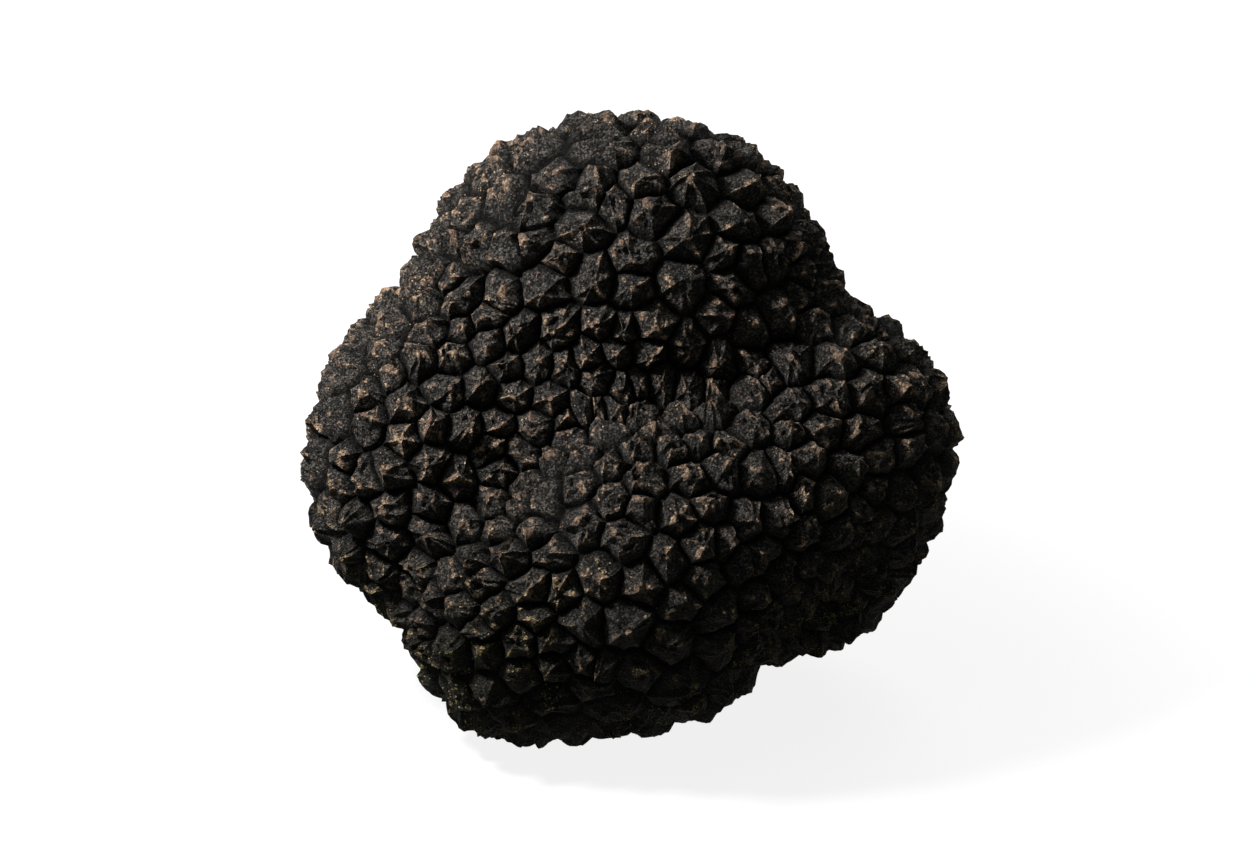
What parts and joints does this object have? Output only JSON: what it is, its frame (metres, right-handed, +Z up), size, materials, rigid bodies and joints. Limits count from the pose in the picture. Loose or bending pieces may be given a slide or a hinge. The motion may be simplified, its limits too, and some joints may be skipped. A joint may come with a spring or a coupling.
{
  "type": "black truffle",
  "caption": "Lobed black truffle, its whole skin a mosaic of blunt pyramid warts, with deep folds between the lobes and a small flat spot that it rests on.",
  "frame": {"origin": "under the middle of the bounding box, in the plane of the flat spot it rests on", "axes": "+X to the right across its width, +Y from its front to its back, +Z up"},
  "size_m": [0.067, 0.0536, 0.0585],
  "materials": {
    "skin": "rough, dull, brown-black rind"
  },
  "bodies": {
    "root": {"truffle": "skin"}
  },
  "joints": []
}
